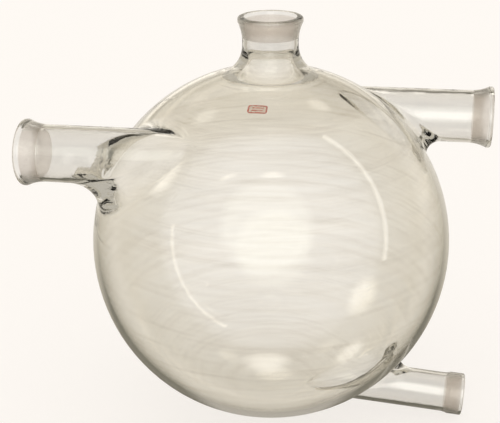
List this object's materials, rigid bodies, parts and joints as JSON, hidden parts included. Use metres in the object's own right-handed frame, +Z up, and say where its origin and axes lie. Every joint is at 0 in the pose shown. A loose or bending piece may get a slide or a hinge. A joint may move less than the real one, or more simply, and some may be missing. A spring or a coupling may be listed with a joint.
{
  "type": "multi-neck round bottom flask",
  "caption": "Spherical glass vessel with a vertical top neck, tangent side necks and a low drain neck, each ending in a flared ground socket.",
  "frame": {"origin": "centre of the spherical bulb", "axes": "+Z up through the top neck, +X the way the drain neck and the right neck point, -Y the side with the left neck"},
  "size_m": [0.3415, 0.2798, 0.3244],
  "materials": {
    "clear_glass": "clear, slightly olive in thick places",
    "socket_glass": "clear outside, ground inside",
    "enamel": "fired red enamel"
  },
  "bodies": {
    "root": {"bulb": "clear_glass", "top_neck": "clear_glass", "left_neck": "clear_glass", "right_neck": "clear_glass", "drain_neck": "clear_glass", "top_socket": "socket_glass", "left_socket": "socket_glass", "right_socket": "socket_glass", "drain_socket": "socket_glass", "enamel_mark": "enamel"}
  },
  "joints": []
}
